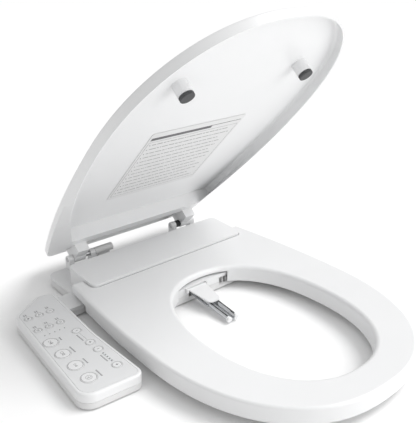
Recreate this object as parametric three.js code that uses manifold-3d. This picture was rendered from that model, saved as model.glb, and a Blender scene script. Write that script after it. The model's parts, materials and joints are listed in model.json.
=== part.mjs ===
// Electric bidet seat: a heated seat ring and a dished lid on a slim rear housing, with two
// wash tubes that run out over the bowl and a control arm beside the seat.
// Millimetres, +Z up, front of the seat toward -Y. Depths are measured from the front edge of
// the rear deck, and the whole object is then moved so that the bolt line is the origin.

import * as THREE from 'three';
import { mergeVertices } from 'three/addons/utils/BufferGeometryUtils.js';
import Module from 'manifold-3d';

const wasm = await Module();
wasm.setup();

// ---- driving dimensions ----
const GAP = 0.3; // clearance between touching pieces
const WALL = 2.6; // moulded wall

const SEAT_HALF_WIDTH = 184;
const SEAT_WIDE_Y = -185; // where the ring is widest
const SEAT_TIP_Y = -416;
const SEAT_FRONT_POWER = 2.3; // how square the front curve is
const EAR_HALF_WIDTH = 168; // outside of the ring's ears beside the deck
const EAR_Y = 32; // how far the ears reach back
const SEAT_BOTTOM = 12;
const SEAT_TOP = 38;
const SEAT_EDGE = 4; // radius of the ring's outer edges
const SEAT_WALL = 3;
const EAR_BOTTOM = 24; // underside of the ring's ears and rear edge, over the shelf
const WEB_BOTTOM = 30; // underside of the ring where it passes over the apron
const OPENING_HALF_WIDTH = 112;
const OPENING_MIDDLE_Y = -222;
const OPENING_FRONT_Y = -370;
const OPENING_REAR_Y = -64;
const OPENING_POWER = 2.25;
const RING_PLATE = 2.4; // closing plate under the ring
const HEATER_THICKNESS = 0.7;
const SEAT_AXIS_Y = 20;
const SEAT_AXIS_Z = 34;
const SEAT_PIN_RADIUS = 3.2;
const SEAT_BUMPER_RADIUS = 8;

const FOOT_HEIGHT = 2.4; // rubber feet and mounting plate under the chassis
const SPLIT_Z = 14; // joint between chassis and rear cover
const SHELF_Z = 17; // shelf behind and beside the deck
const HOUSING_HALF_WIDTH = 166;
const HOUSING_FRONT_Y = -12;
const HOUSING_REAR_Y = 119;
const HOUSING_CORNER = 16;
const APRON_HALF_WIDTH = 90; // front of the housing, under the ring's web
const APRON_FRONT_Y = -72;
const APRON_TOP = 27;
const DECK_HALF_WIDTH = 150;
const DECK_DEPTH = 76;
const DECK_FRONT_TOP = 42;
const DECK_REAR_TOP = 44.5;
const DECK_CORNER = 9;
const DECK_GAP = 1.6; // slot between the seat ring and the deck
const BOLT_LINE_Y = 58;
const PLATE_HALF_WIDTH = 92;
const PLATE_DEPTH = 74;
const BOLT_SPACING = 140;

const LID_AXIS_Y = 112;
const LID_AXIS_Z = 34;
const LID_OPEN = 48; // degrees between the closed lid and the lid as it stands
const LID_RIM_Z = 45.5;
const LID_SHOULDER_Z = 57; // below this the rear of the lid slopes in to its rim
const LID_TOP_Z = 73;
const LID_TAPER = 0.42; // share of the lid's depth that is lost from its back to its tip
const LID_LIP = 12; // how far the tip reaches in front of the seat's tip
const LID_WALL = 3;
const LID_OVERHANG = 2; // how far the lid's rim stands outside the seat ring
const LID_RIM_REAR = [126, 86]; // half width and depth of the rim's rear edge
const LID_BACK_REAR = [150, 136]; // the same for the lid's back
const LID_LEDGE_Y = 68; // the hollow ends here, at a ledge along the rim's rear edge
const LID_CROWN = 8; // radius round the top of the lid
const LID_ARM_INSIDE = 100;
const LID_ARM_WIDTH = 21;
const LID_BARREL_RADIUS = 7.5;
const LID_PIN_RADIUS = 4;
const TOWER_WIDTH = 9;
const BUMPER_POST_RADIUS = 10.5;
const BUMPER_X = 104;
const BUMPER_Y = -308;
const PAD_HEIGHT = 5;
const LABEL_WIDTH = 172;
const LABEL_LENGTH = 186;
const LABEL_MIDDLE_Y = -100;

const WASH_X = -12; // the wash unit stands a little to one side of the middle
const TUBE_RADIUS = 4.2;
const TUBE_SPACING = 2 * TUBE_RADIUS + 2.4; // the guide's rib stands between the tubes
const TUBE_SLOPE = 6.5; // degrees down toward the front
const TUBE_WALL_Z = TUBE_RADIUS + 11.8; // height of the tubes where they pass the front wall, over their motors
const TUBE_REACH = 86; // how far the tips stand out of the front wall
const TUBE_TRAVEL = 78;
const TUBE_TAIL_Y = -18;
const TOOTH_PITCH = 3;
const PINION_TEETH = 12;
const PINION_Y = -30;
const MOTOR_RADIUS = 9.5;
const MOTOR_HEIGHT = 7.8;
const HOOD_LENGTH = 44;
const HOOD_HALF_WIDTH = 17;
const HOOD_Z = 23.5;
const HOOD_STANDOFF = 2.6; // hood axle in front of the apron

const ARM_GAP = 7; // between the widest part of the seat and the arm
const ARM_X = -SEAT_HALF_WIDTH - ARM_GAP; // inner side of the arm
const ARM_BOTTOM = 2;
const ARM_SPLIT = 11;
const ARM_TOP = 24;
const ARM_WALL = 2.4;
const OVERLAY_INSET = 4.5;
const OVERLAY_THICKNESS = 0.8;
const KEY_CLEARANCE = 0.4;
const KEY_HEIGHT = 3.4;
const KEY_PROUD = 0.5;
const LARGE_KEY_RADIUS = 10.6;
const SMALL_KEY_RADIUS = 5.8;
const PAIR_KEY_RADIUS = 6.8;

// ---- solids from three.js geometry ----
function solid(geometry) {
  const bare = geometry.clone();
  bare.deleteAttribute('normal');
  bare.deleteAttribute('uv');
  const merged = mergeVertices(bare, 1e-4);
  return new wasm.Manifold(new wasm.Mesh({
    numProp: 3,
    vertProperties: new Float32Array(merged.attributes.position.array),
    triVerts: new Uint32Array(merged.index.array),
  }));
}

function surface(manifold) {
  const mesh = manifold.getMesh();
  const geometry = new THREE.BufferGeometry();
  geometry.setAttribute('position', new THREE.BufferAttribute(mesh.vertProperties, 3));
  geometry.setIndex(new THREE.BufferAttribute(mesh.triVerts, 1));
  geometry.computeVertexNormals();
  return geometry;
}

const join = (...solids) => solids.reduce((whole, piece) => whole.add(piece));
const cut = (whole, ...tools) => tools.reduce((left, tool) => left.subtract(tool), whole);

// A block between two opposite corners.
function block(low, high) {
  const size = high.map((value, i) => value - low[i]);
  const geometry = new THREE.BoxGeometry(...size);
  geometry.translate(...low.map((value, i) => value + size[i] / 2));
  return solid(geometry);
}

function outline(points) {
  return new THREE.Shape(points.map(([x, y]) => new THREE.Vector2(x, y)));
}

// An outline pulled up from z0 to z1, with holes.
function prism(points, z0, z1, holes = []) {
  const shape = outline(points);
  shape.holes = holes.map((hole) => outline(hole));
  const geometry = new THREE.ExtrudeGeometry(shape, { depth: z1 - z0, bevelEnabled: false });
  geometry.translate(0, 0, z0);
  return solid(geometry);
}

// The same with its top edge rounded, and its bottom edge too if asked.
function softPrism(points, z0, z1, radius, bottomToo = false, steps = 3) {
  const low = bottomToo ? z0 : z0 - 2 * radius;
  const geometry = new THREE.ExtrudeGeometry(outline(points), {
    depth: z1 - low - 2 * radius,
    bevelThickness: radius,
    bevelSize: radius,
    bevelOffset: -radius,
    bevelSegments: steps,
  });
  geometry.translate(0, 0, low + radius);
  const whole = solid(geometry);
  return bottomToo ? whole : whole.trimByPlane([0, 0, 1], z0);
}

function disc(radius, z0, z1, x = 0, y = 0, sides = 32) {
  const geometry = new THREE.CylinderGeometry(radius, radius, z1 - z0, sides);
  geometry.rotateX(Math.PI / 2);
  geometry.translate(x, y, (z0 + z1) / 2);
  return solid(geometry);
}

// A disc with its top edge rounded.
function softDisc(radius, z0, z1, edge, x, y, sides = 20) {
  const turn = [0, 0.5, 1].map((part) => (part * Math.PI) / 2);
  const profile = [
    [0, z0],
    [radius, z0],
    ...turn.map((angle) => [radius - edge + edge * Math.cos(angle), z1 - edge + edge * Math.sin(angle)]),
    [0, z1],
  ].map(([along, up]) => new THREE.Vector2(along, up));
  const geometry = new THREE.LatheGeometry(profile, sides);
  geometry.rotateX(Math.PI / 2);
  geometry.translate(x, y, 0);
  return solid(geometry);
}

// A round bar along X.
function barX(radius, x0, x1, y, z, sides = 24) {
  const geometry = new THREE.CylinderGeometry(radius, radius, x1 - x0, sides);
  geometry.rotateZ(Math.PI / 2);
  geometry.translate((x0 + x1) / 2, y, z);
  return solid(geometry);
}

// A round bar along Y.
function barY(radius, y0, y1, x, z, sides = 24) {
  const geometry = new THREE.CylinderGeometry(radius, radius, y1 - y0, sides);
  geometry.translate(x, (y0 + y1) / 2, z);
  return solid(geometry);
}

// An outline in the Y-Z plane pulled along X.
function profileX(points, x0, x1) {
  const geometry = new THREE.ExtrudeGeometry(outline(points), { depth: x1 - x0, bevelEnabled: false });
  geometry.rotateX(Math.PI / 2);
  geometry.rotateZ(Math.PI / 2);
  geometry.translate(x0, 0, 0);
  return solid(geometry);
}

// ---- plan outlines ----
const mirrored = (half) => [...half, ...half.map(([x, y]) => [-x, y]).reverse()];

// A quarter of a superellipse from (middleX + a, middleY) round to (middleX, middleY + b).
function quarterCurve(a, b, middleY, power, steps) {
  return Array.from({ length: steps + 1 }, (_, i) => {
    const angle = (i / steps) * (Math.PI / 2);
    const x = i === steps ? 0 : a * Math.cos(angle) ** (2 / power);
    return [x, middleY + b * Math.sin(angle) ** (2 / power)];
  });
}

const withoutAxisTwin = (half) => half.filter(([x], i) => x > 0 || i === half.length - 1);

// The ring's outside from rearY forward to the tip and back, grown outward by grow.
function seatOutline(rearY, grow = 0, rearSteps = 8, frontSteps = 22) {
  const half = [];
  for (let i = 0; i < rearSteps; i += 1) {
    const y = rearY + (SEAT_WIDE_Y - rearY) * (i / rearSteps);
    const back = (y - SEAT_WIDE_Y) / (EAR_Y - SEAT_WIDE_Y);
    half.push([SEAT_HALF_WIDTH + grow - (SEAT_HALF_WIDTH - EAR_HALF_WIDTH) * back * back, y]);
  }
  const reach = SEAT_TIP_Y - grow - SEAT_WIDE_Y;
  half.push(...quarterCurve(SEAT_HALF_WIDTH + grow, reach, SEAT_WIDE_Y, SEAT_FRONT_POWER, frontSteps));
  const right = withoutAxisTwin(half);
  const left = right.slice(0, -1).map(([x, y]) => [-x, y]).reverse();
  return [...right, ...left].reverse();
}

// The opening over the bowl, grown outward by grow.
function openingOutline(grow = 0, steps = 16) {
  const a = OPENING_HALF_WIDTH + grow;
  const rear = quarterCurve(a, OPENING_REAR_Y + grow - OPENING_MIDDLE_Y, OPENING_MIDDLE_Y, OPENING_POWER, steps);
  const front = quarterCurve(a, OPENING_FRONT_Y - grow - OPENING_MIDDLE_Y, OPENING_MIDDLE_Y, OPENING_POWER, steps);
  const right = [...front.reverse(), ...rear.slice(1)];
  const left = right.slice(1, -1).map(([x, y]) => [-x, y]).reverse();
  return [...right, ...left];
}

// A polygon with each corner rounded; a corner is [x, y, radius].
function rounded(corners, steps = 5) {
  const points = [];
  corners.forEach(([x, y, radius], i) => {
    const corner = new THREE.Vector2(x, y);
    const [px, py] = corners[(i + corners.length - 1) % corners.length];
    const [nx, ny] = corners[(i + 1) % corners.length];
    const back = new THREE.Vector2(px, py).sub(corner).normalize();
    const on = new THREE.Vector2(nx, ny).sub(corner).normalize();
    const half = Math.acos(THREE.MathUtils.clamp(back.dot(on), -1, 1)) / 2;
    const run = radius / Math.tan(half);
    const centre = back.clone().add(on).normalize().multiplyScalar(radius / Math.sin(half)).add(corner);
    const from = corner.clone().addScaledVector(back, run).sub(centre);
    const to = corner.clone().addScaledVector(on, run).sub(centre);
    const sweep = Math.atan2(from.x * to.y - from.y * to.x, from.dot(to));
    for (let k = 0; k <= steps; k += 1) {
      const spoke = from.clone().rotateAround(new THREE.Vector2(), (sweep * k) / steps).add(centre);
      points.push([spoke.x, spoke.y]);
    }
  });
  return points;
}

const roundedBox = (x0, y0, x1, y1, radius, steps) =>
  rounded([[x0, y0, radius], [x1, y0, radius], [x1, y1, radius], [x0, y1, radius]], steps);

// ---- materials ----
const plastic = (color, roughness = 0.25) => new THREE.MeshStandardMaterial({ color, roughness, metalness: 0 });
const WHITE = 0xf4f4f2;
const GREY = 0x6d6f70;
const DARK = 0x2f3133;
const metal = (color, roughness = 0.2) => new THREE.MeshStandardMaterial({ color, roughness, metalness: 1 });

const product = new THREE.Group();
product.position.y = -BOLT_LINE_Y;

function place(parent, name, manifold, material) {
  const mesh = new THREE.Mesh(surface(manifold), material);
  mesh.name = name;
  parent.add(mesh);
  return mesh;
}

// ---- rear housing ----
const housingPlan = (inset) => roundedBox(
  -HOUSING_HALF_WIDTH + inset,
  HOUSING_FRONT_Y + inset,
  HOUSING_HALF_WIDTH - inset,
  HOUSING_REAR_Y - inset,
  HOUSING_CORNER - inset,
  5,
);

const apronPlan = (inset) => roundedBox(
  -APRON_HALF_WIDTH + inset,
  APRON_FRONT_Y + inset,
  APRON_HALF_WIDTH - inset,
  HOUSING_FRONT_Y + 20 + inset,
  6 - inset,
  3,
);

const slopeAt = (y) => TUBE_WALL_Z + (y - APRON_FRONT_Y) * Math.tan(THREE.MathUtils.degToRad(TUBE_SLOPE));
const WASH_HALF = TUBE_SPACING / 2 + TUBE_RADIUS + TOOTH_PITCH + 1.6; // half the width that the tubes need
const PINION_RADIUS = (TOOTH_PITCH * PINION_TEETH) / (2 * Math.PI);
const RACK_LINE = TUBE_SPACING / 2 + TUBE_RADIUS + 1.9; // pitch line of the racks
const PINION_X = RACK_LINE + PINION_RADIUS;

function washAperture() {
  const middle = slopeAt(APRON_FRONT_Y);
  return block(
    [WASH_X - WASH_HALF, APRON_FRONT_Y - 5, middle - TUBE_RADIUS - 2],
    [WASH_X + WASH_HALF, APRON_FRONT_Y + 8, middle + TUBE_RADIUS + 2],
  );
}

const DRYER_X = 52; // middle of the dryer's outlet in the front wall
const DRYER_HALF_WIDTH = 17;
const DRYER_LOW = 8;
const DRYER_HIGH = 22;

const dryerOutlet = (grow, y0, y1) => block(
  [DRYER_X - DRYER_HALF_WIDTH - grow, y0, DRYER_LOW - grow],
  [DRYER_X + DRYER_HALF_WIDTH + grow, y1, DRYER_HIGH + grow],
);

const INLET_Y = 92; // water inlet on the right-hand side
const INLET_RADIUS = 4.2;
const INLET_Z = FOOT_HEIGHT + WALL + INLET_RADIUS + 0.4;
const GLAND_X = 120; // power cord gland in the rear wall
const GLAND_RADIUS = 4.2;
const GLAND_Z = FOOT_HEIGHT + WALL + GLAND_RADIUS;
const BUTTON_Y = 46; // release button on the left-hand side of the chassis
const BUTTON_HALF = 9;

const NECK_FRONT_Y = 2; // where the control arm joins the housing
const NECK_REAR_Y = 44;

function chassis() {
  const low = FOOT_HEIGHT;
  const outer = join(prism(housingPlan(0), low, SPLIT_Z), prism(apronPlan(0), low, SPLIT_Z));
  const inner = join(
    prism(housingPlan(WALL), low + WALL, SPLIT_Z + 1),
    prism(apronPlan(WALL), low + WALL, SPLIT_Z + 1),
  );
  return cut(
    outer,
    inner,
    washAperture(),
    dryerOutlet(GAP, APRON_FRONT_Y - 1, APRON_FRONT_Y + WALL + 1),
    barX(INLET_RADIUS + GAP, HOUSING_HALF_WIDTH - 6, HOUSING_HALF_WIDTH + 1, INLET_Y, INLET_Z),
    barY(GLAND_RADIUS + GAP, HOUSING_REAR_Y - 6, HOUSING_REAR_Y + 1, GLAND_X, GLAND_Z),
    block(
      [HOUSING_HALF_WIDTH - 6, BUTTON_Y - BUTTON_HALF - GAP, 6 - GAP],
      [HOUSING_HALF_WIDTH + 1, BUTTON_Y + BUTTON_HALF + GAP, 11.5 + GAP],
    ),
  );
}

// The sloped top of the deck, pulled down by drop.
function deckWedge(drop, inset) {
  const front = 0;
  const back = DECK_DEPTH;
  const rise = (DECK_REAR_TOP - DECK_FRONT_TOP) / DECK_DEPTH;
  return profileX([
    [front - 40, DECK_FRONT_TOP - drop - 40 * rise],
    [back + 40, DECK_REAR_TOP - drop + 40 * rise],
    [back + 40, 90],
    [front - 40, 90],
  ], -DECK_HALF_WIDTH - 20 + inset, DECK_HALF_WIDTH + 20 - inset);
}

const deckPlan = (inset) => roundedBox(
  -DECK_HALF_WIDTH + inset,
  inset,
  DECK_HALF_WIDTH - inset,
  DECK_DEPTH - inset,
  DECK_CORNER - inset,
  4,
);

const LID_ARM_OUTSIDE = LID_ARM_INSIDE + LID_ARM_WIDTH;
const BUSH_WIDTH = 9;
const sideGap = 0.6; // running clearance beside the lid's arms

// Where the towers that carry the lid pins stand, as [inner x, outer x] on the +X side.
const OUTER_TOWER = [LID_ARM_OUTSIDE + sideGap, LID_ARM_OUTSIDE + sideGap + TOWER_WIDTH];
const INNER_TOWER = [
  LID_ARM_INSIDE - 2 * sideGap - BUSH_WIDTH - TOWER_WIDTH,
  LID_ARM_INSIDE - 2 * sideGap - BUSH_WIDTH,
];

function tower([x0, x1], side) {
  const low = Math.min(side * x0, side * x1);
  const high = Math.max(side * x0, side * x1);
  const radius = LID_PIN_RADIUS + 2.4;
  return join(
    block([low, LID_AXIS_Y - radius, SPLIT_Z + GAP + 1], [high, LID_AXIS_Y + radius, LID_AXIS_Z]),
    barX(radius, low, high, LID_AXIS_Y, LID_AXIS_Z),
  );
}

// An ear in front of the apron that carries one end of the hood's axle.
function hoodEar(side) {
  const ends = [side * (HOOD_HALF_WIDTH + 0.8), side * (HOOD_HALF_WIDTH + 4.4)];
  return block(
    [WASH_X + Math.min(...ends), APRON_FRONT_Y - 5.4, HOOD_Z - 3],
    [WASH_X + Math.max(...ends), APRON_FRONT_Y + 1, HOOD_Z + 3],
  );
}

function rearCover() {
  const low = SPLIT_Z + GAP;
  const deck = cut(softPrism(deckPlan(0), low, 60, 2), deckWedge(0, 0));
  const trough = profileX([
    [DECK_DEPTH - 6, SHELF_Z - 1],
    [DECK_DEPTH + 5.5, SHELF_Z - 1],
    [DECK_DEPTH + 5.5, SHELF_Z + 1],
    [DECK_DEPTH - 3, DECK_REAR_TOP - 3.5],
    [DECK_DEPTH - 6, DECK_REAR_TOP - 3.5],
  ], -DECK_HALF_WIDTH + DECK_CORNER, DECK_HALF_WIDTH - DECK_CORNER);
  const outer = join(
    prism(housingPlan(0), low, SHELF_Z),
    prism(apronPlan(0), low, APRON_TOP),
    deck,
    trough,
    ...[1, -1].flatMap((side) => [tower(OUTER_TOWER, side), tower(INNER_TOWER, side), hoodEar(side)]),
  );
  const deckCavity = cut(prism(deckPlan(WALL), low - 1, 60), deckWedge(WALL, 0));
  const apronCavity = prism(apronPlan(WALL), low - 1, APRON_TOP - WALL);
  const pinBore = barX(LID_PIN_RADIUS + GAP, -200, 200, LID_AXIS_Y, LID_AXIS_Z);
  const seatBore = barX(SEAT_PIN_RADIUS + GAP, -200, 200, SEAT_AXIS_Y, SEAT_AXIS_Z);
  const washSlot = block(
    [WASH_X - WASH_HALF, APRON_FRONT_Y + 12, APRON_TOP - WALL - 1],
    [WASH_X + WASH_HALF, WALL + 0.5, APRON_TOP + 4],
  );
  return cut(
    outer,
    deckCavity,
    apronCavity,
    pinBore,
    seatBore,
    barX(
      1.9,
      WASH_X - HOOD_HALF_WIDTH - 3.4,
      WASH_X + HOOD_HALF_WIDTH + 3.4,
      APRON_FRONT_Y - HOOD_STANDOFF,
      HOOD_Z,
      16,
    ),
    washSlot,
    washAperture(),
    dryerOutlet(GAP, APRON_FRONT_Y - 1, APRON_FRONT_Y + WALL + 1),
  );
}

place(product, 'base_chassis', chassis(), plastic(WHITE, 0.35));
place(product, 'rear_cover', rearCover(), plastic(WHITE));

// ---- mounting ----
function mountingPlate() {
  const y0 = BOLT_LINE_Y - PLATE_DEPTH / 2;
  const y1 = BOLT_LINE_Y + PLATE_DEPTH / 2 - 1;
  const slots = [-1, 1].map((side) => prism(roundedBox(
    side * (BOLT_SPACING / 2) - 14,
    BOLT_LINE_Y - 4,
    side * (BOLT_SPACING / 2) + 14,
    BOLT_LINE_Y + 4,
    3.9,
    4,
  ), -1, 5));
  return cut(prism(roundedBox(-PLATE_HALF_WIDTH, y0, PLATE_HALF_WIDTH, y1, 8), 0, FOOT_HEIGHT - GAP), ...slots);
}

place(product, 'mounting_plate', mountingPlate(), plastic(GREY, 0.5));

[['base_foot_left', -1], ['base_foot_right', 1]].forEach(([name, side]) => {
  const x = side * (HOUSING_HALF_WIDTH - 28);
  place(product, name, prism(roundedBox(x - 11, 8, x + 11, 92, 8), 0, FOOT_HEIGHT - GAP), plastic(DARK, 0.8));
});

const buttonStem = block(
  [HOUSING_HALF_WIDTH - 14, BUTTON_Y - BUTTON_HALF + 3, 7],
  [HOUSING_HALF_WIDTH - 1, BUTTON_Y + BUTTON_HALF - 3, 10.5],
);
const buttonFace = block(
  [HOUSING_HALF_WIDTH - 2, BUTTON_Y - BUTTON_HALF, 6],
  [HOUSING_HALF_WIDTH + 3.2, BUTTON_Y + BUTTON_HALF, 11.5],
);
place(product, 'release_button', join(buttonStem, buttonFace), plastic(GREY, 0.4));

// ---- works inside the housing ----
const FLOOR = FOOT_HEIGHT + WALL + GAP;

function mainBoard() {
  const board = block([24, 16, FLOOR + 2], [86, 70, FLOOR + 3.6]);
  const chips = [[34, 26, 12, 14, 9], [58, 24, 16, 10, 12], [78, 40, 10, 20, 15], [44, 52, 20, 12, 6]];
  return join(board, ...chips.map(([x, y, w, d, h]) => block(
    [x - w / 2, y - d / 2, FLOOR + 3],
    [x + w / 2, y + d / 2, FLOOR + 3 + h],
  )));
}

function heaterTank() {
  const body = softPrism(roundedBox(-104, 16, -34, DECK_DEPTH - 8, 12), FLOOR, 34, 4, true);
  return join(body, disc(4, 33, 37, -90, 30), barX(4, -112, -100, 40, 14));
}

function inletValve() {
  const y0 = INLET_Y - 12;
  return join(
    block([132, y0, FLOOR], [150, INLET_Y + 10, 13]),
    disc(7, 10, 13.2, 141, INLET_Y - 1),
    barX(3.2, 120, 134, INLET_Y - 4, 9.5),
  );
}

function inletFitting() {
  return cut(
    join(
      barX(INLET_RADIUS, 151, HOUSING_HALF_WIDTH + 15, INLET_Y, INLET_Z),
      barX(INLET_RADIUS + 1.8, HOUSING_HALF_WIDTH + GAP, HOUSING_HALF_WIDTH + 3.5, INLET_Y, INLET_Z, 6),
    ),
    barX(2.6, HOUSING_HALF_WIDTH - 4, HOUSING_HALF_WIDTH + 16, INLET_Y, INLET_Z, 16),
  );
}

function cordGland() {
  return cut(
    join(
      barY(GLAND_RADIUS, HOUSING_REAR_Y - 8, HOUSING_REAR_Y + 5, GLAND_X, GLAND_Z),
      barY(GLAND_RADIUS + 1.6, HOUSING_REAR_Y + GAP, HOUSING_REAR_Y + 2.5, GLAND_X, GLAND_Z),
    ),
    barY(2.6, HOUSING_REAR_Y - 4, HOUSING_REAR_Y + 6, GLAND_X, GLAND_Z, 16),
  );
}

const FAN_X = 113;
const FAN_Y = DECK_DEPTH - 34;

function dryerFan() {
  return cut(
    join(disc(19, FLOOR, 30, FAN_X, FAN_Y), block([FAN_X - 19, 14, FLOOR + 2], [FAN_X - 2, FAN_Y, 24])),
    disc(9, 24, 31, FAN_X, FAN_Y),
  );
}

// A flat tube from the fan forward to the outlet in the front wall.
function dryerDuct() {
  const path = (halfWidth) => {
    const bend = (y) => THREE.MathUtils.smoothstep(y, -14, 22);
    const far = FAN_X - 10 - DRYER_X;
    const ys = [APRON_FRONT_Y + GAP, -60, -48, -36, -24, -14, -8, -2, 4, 9, 13.4];
    const edge = (side) => ys.map((y) => [DRYER_X + far * bend(y) + side * halfWidth(y), y]);
    return [...edge(1), ...edge(-1).reverse()];
  };
  const halfWidth = (y) => THREE.MathUtils.lerp(DRYER_HALF_WIDTH, 8, THREE.MathUtils.smoothstep(y, -60, 10));
  const outer = prism(path(halfWidth), DRYER_LOW, DRYER_HIGH);
  const inner = prism(path((y) => halfWidth(y) - 1.4), DRYER_LOW + 1.4, DRYER_HIGH - 1.4);
  const mouth = block([DRYER_X - 14, APRON_FRONT_Y - 2, DRYER_LOW + 1.4], [DRYER_X + 14, APRON_FRONT_Y + 4, DRYER_HIGH - 1.4]);
  const vanes = [-8, 0, 8].map((x) => block(
    [DRYER_X + x - 0.7, APRON_FRONT_Y + 1, DRYER_LOW + 0.5],
    [DRYER_X + x + 0.7, APRON_FRONT_Y + 7, DRYER_HIGH - 0.5],
  ));
  return join(cut(outer, inner, mouth), ...vanes);
}

function deodoriser() {
  const body = softPrism(roundedBox(-78, -64, -42, -18, 6), FLOOR, 23, 2, true);
  const slots = [-56, -48, -40, -32].map((y) => block([-72, y, 21], [-48, y + 3, 24]));
  return cut(body, ...slots);
}

place(product, 'main_board', mainBoard(), plastic(0x2f6b46, 0.5));
place(product, 'heater_tank', heaterTank(), plastic(0xc9cbc8, 0.5));
place(product, 'inlet_valve', inletValve(), plastic(0x9fa4a6, 0.5));
place(product, 'inlet_fitting', inletFitting(), metal(0xc8c9ca, 0.25));
place(product, 'cord_gland', cordGland(), plastic(DARK, 0.6));
place(product, 'dryer_fan', dryerFan(), plastic(DARK, 0.5));
place(product, 'dryer_duct', dryerDuct(), plastic(0x8d9092, 0.5));
place(product, 'deodoriser_cartridge', deodoriser(), plastic(0x4a4d50, 0.6));

// ---- wash tubes, in a frame whose Y runs along the tubes and whose origin is at the front wall ----
const wash = new THREE.Group();
wash.position.set(WASH_X, APRON_FRONT_Y, TUBE_WALL_Z);
wash.rotation.x = THREE.MathUtils.degToRad(TUBE_SLOPE);
product.add(wash);

const TAIL = TUBE_TAIL_Y - APRON_FRONT_Y;
const PINION_ALONG = PINION_Y - APRON_FRONT_Y;
const TOOTH_HALF_HEIGHT = 0.9;
const RACK_FRONT = PINION_ALONG - TUBE_TRAVEL - 6;

// Teeth along a line: each is a trapezium, narrower than half a pitch so that it runs free.
function rackTeeth(from, to) {
  const points = [[from, -TOOTH_HALF_HEIGHT]];
  const first = Math.ceil((from - PINION_ALONG) / TOOTH_PITCH - 0.5) + 0.5;
  for (let k = first; PINION_ALONG + k * TOOTH_PITCH < to - 1.2; k += 1) {
    const middle = PINION_ALONG + k * TOOTH_PITCH;
    if (middle - 1 > from) {
      points.push(
        [middle - 0.95, -TOOTH_HALF_HEIGHT],
        [middle - 0.35, TOOTH_HALF_HEIGHT],
        [middle + 0.35, TOOTH_HALF_HEIGHT],
        [middle + 0.95, -TOOTH_HALF_HEIGHT],
      );
    }
  }
  points.push([to, -TOOTH_HALF_HEIGHT], [to, -TOOTH_HALF_HEIGHT - 2], [from, -TOOTH_HALF_HEIGHT - 2]);
  return points;
}

const RACK_HALF_HEIGHT = 1.6;

function washTube(side) {
  const x = side * (TUBE_SPACING / 2);
  const tube = barY(TUBE_RADIUS, -TUBE_REACH + 1.5, TAIL, x, 0, 20);
  const tip = barY(TUBE_RADIUS - 0.7, -TUBE_REACH, -TUBE_REACH + 2, x, 0, 20);
  const spray = [0, 4].map((back) => disc(0.8, 2, TUBE_RADIUS + 1, x, -TUBE_REACH + 6 + back, 10));
  const flat = block(
    [x - 2, -TUBE_REACH + 3.5, TUBE_RADIUS - 0.6],
    [x + 2, -TUBE_REACH + 12.5, TUBE_RADIUS + 1],
  );
  const teeth = rackTeeth(RACK_FRONT, TAIL).map(([along, out]) => [side * (RACK_LINE + out), along]);
  const rack = prism(side > 0 ? teeth.reverse() : teeth, -RACK_HALF_HEIGHT, RACK_HALF_HEIGHT);
  return cut(join(tube, tip, rack), flat, ...spray);
}

function pinion() {
  const points = [];
  for (let k = 0; k < PINION_TEETH; k += 1) {
    const middle = (k / PINION_TEETH) * 2 * Math.PI;
    const step = (mm, radius) => {
      const angle = middle + mm / PINION_RADIUS;
      points.push([radius * Math.cos(angle), radius * Math.sin(angle)]);
    };
    step(-0.95, PINION_RADIUS - TOOTH_HALF_HEIGHT - 0.3);
    step(-0.35, PINION_RADIUS + TOOTH_HALF_HEIGHT - 0.3);
    step(0.35, PINION_RADIUS + TOOTH_HALF_HEIGHT - 0.3);
    step(0.95, PINION_RADIUS - TOOTH_HALF_HEIGHT - 0.3);
  }
  return cut(prism(points, -2.4, 2.4), disc(1.3, -3, 3, 0, 0, 12));
}

function washMotor(side) {
  const x = side * PINION_X;
  const top = -TUBE_RADIUS - 2.2;
  return join(
    disc(MOTOR_RADIUS, top - MOTOR_HEIGHT, top, x, PINION_ALONG, 28),
    disc(3, top - 1, top + 1.2, x, PINION_ALONG, 16),
    disc(1, top, 3, x, PINION_ALONG, 12),
  );
}

function nozzleGuide() {
  const low = -TUBE_RADIUS - 1.8;
  const plate = block([-WASH_HALF + 1, 6, low], [WASH_HALF - 1, TAIL + TUBE_TRAVEL + 4, low + 1.4]);
  const rib = block([-0.5, 6, low], [0.5, TAIL + TUBE_TRAVEL + 4, TUBE_RADIUS + 0.4]);
  const stop = block([-WASH_HALF + 1, TAIL + TUBE_TRAVEL + 1.5, low], [WASH_HALF - 1, TAIL + TUBE_TRAVEL + 4, 2]);
  const clear = [1, -1].map((side) => disc(4.2, low - 2, low + 3, side * PINION_X, PINION_ALONG, 20));
  return cut(join(plate, rib, stop), ...clear);
}

[['rear_wash', -1], ['front_wash', 1]].forEach(([name, side]) => {
  place(wash, `${name}_tube`, washTube(side), metal(0xd8d9da, 0.12));
  place(wash, `${name}_motor`, washMotor(side), metal(0x8b8d8f, 0.4));
  const gear = place(wash, `${name}_pinion`, pinion(), plastic(0xe9e4d4, 0.5));
  gear.position.set(side * PINION_X, PINION_ALONG, 0);
});
place(wash, 'nozzle_guide', nozzleGuide(), plastic(0xdadcdb, 0.5));

// ---- hood over the tubes: a tongue on two stub axles in the front wall ----
function hood() {
  const slope = Math.atan2(HOOD_Z - 4.2 - slopeAt(APRON_FRONT_Y - HOOD_LENGTH) - TUBE_RADIUS + 1.2, HOOD_LENGTH);
  const tongue = rounded([
    [-HOOD_HALF_WIDTH, 0, 1],
    [-HOOD_HALF_WIDTH * 0.62, -HOOD_LENGTH, 8],
    [HOOD_HALF_WIDTH * 0.62, -HOOD_LENGTH, 8],
    [HOOD_HALF_WIDTH, 0, 1],
  ]);
  const plate = prism(tongue, -1, 1).rotate([THREE.MathUtils.radToDeg(slope), 0, 0]);
  const axle = barX(1.6, -HOOD_HALF_WIDTH - 3, HOOD_HALF_WIDTH + 3, 0, 0, 16);
  return join(plate, axle);
}

const hoodMesh = place(product, 'nozzle_flap', hood(), plastic(WHITE));
hoodMesh.position.set(WASH_X, APRON_FRONT_Y - HOOD_STANDOFF, HOOD_Z);

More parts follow.
